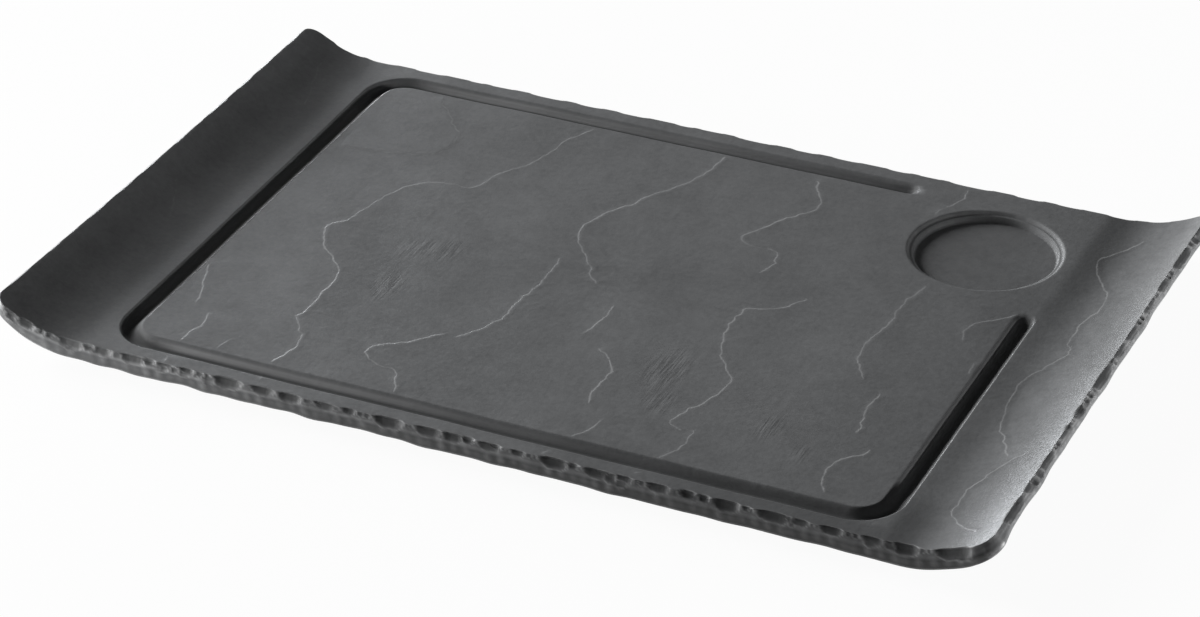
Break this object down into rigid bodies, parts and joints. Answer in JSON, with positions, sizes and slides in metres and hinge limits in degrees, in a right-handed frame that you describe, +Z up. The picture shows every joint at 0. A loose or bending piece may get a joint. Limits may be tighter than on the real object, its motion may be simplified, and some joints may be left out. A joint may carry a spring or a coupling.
{
  "type": "steak plate",
  "caption": "Oblong slate-look ceramic steak plate with raised short ends, a juice groove, a round well for a sauce pot, a chipped edge and silicone feet.",
  "frame": {"origin": "on the table under the middle of the plate, level with the bottoms of the feet", "axes": "+X along the plate's length towards the end with the sauce well, +Y to the back where the well lies, +Z up"},
  "size_m": [0.4, 0.245, 0.0205],
  "materials": {
    "slate_ceramic": "matte, slate texture",
    "silicone": "matte",
    "adhesive": "matte"
  },
  "bodies": {
    "root": {"plate_body": "slate_ceramic", "foot_pad_front_left": "silicone", "foot_pad_front_right": "silicone", "foot_pad_back_left": "silicone", "foot_pad_back_right": "silicone", "foot_adhesive_front_left": "adhesive", "foot_adhesive_front_right": "adhesive", "foot_adhesive_back_left": "adhesive", "foot_adhesive_back_right": "adhesive"}
  },
  "joints": []
}
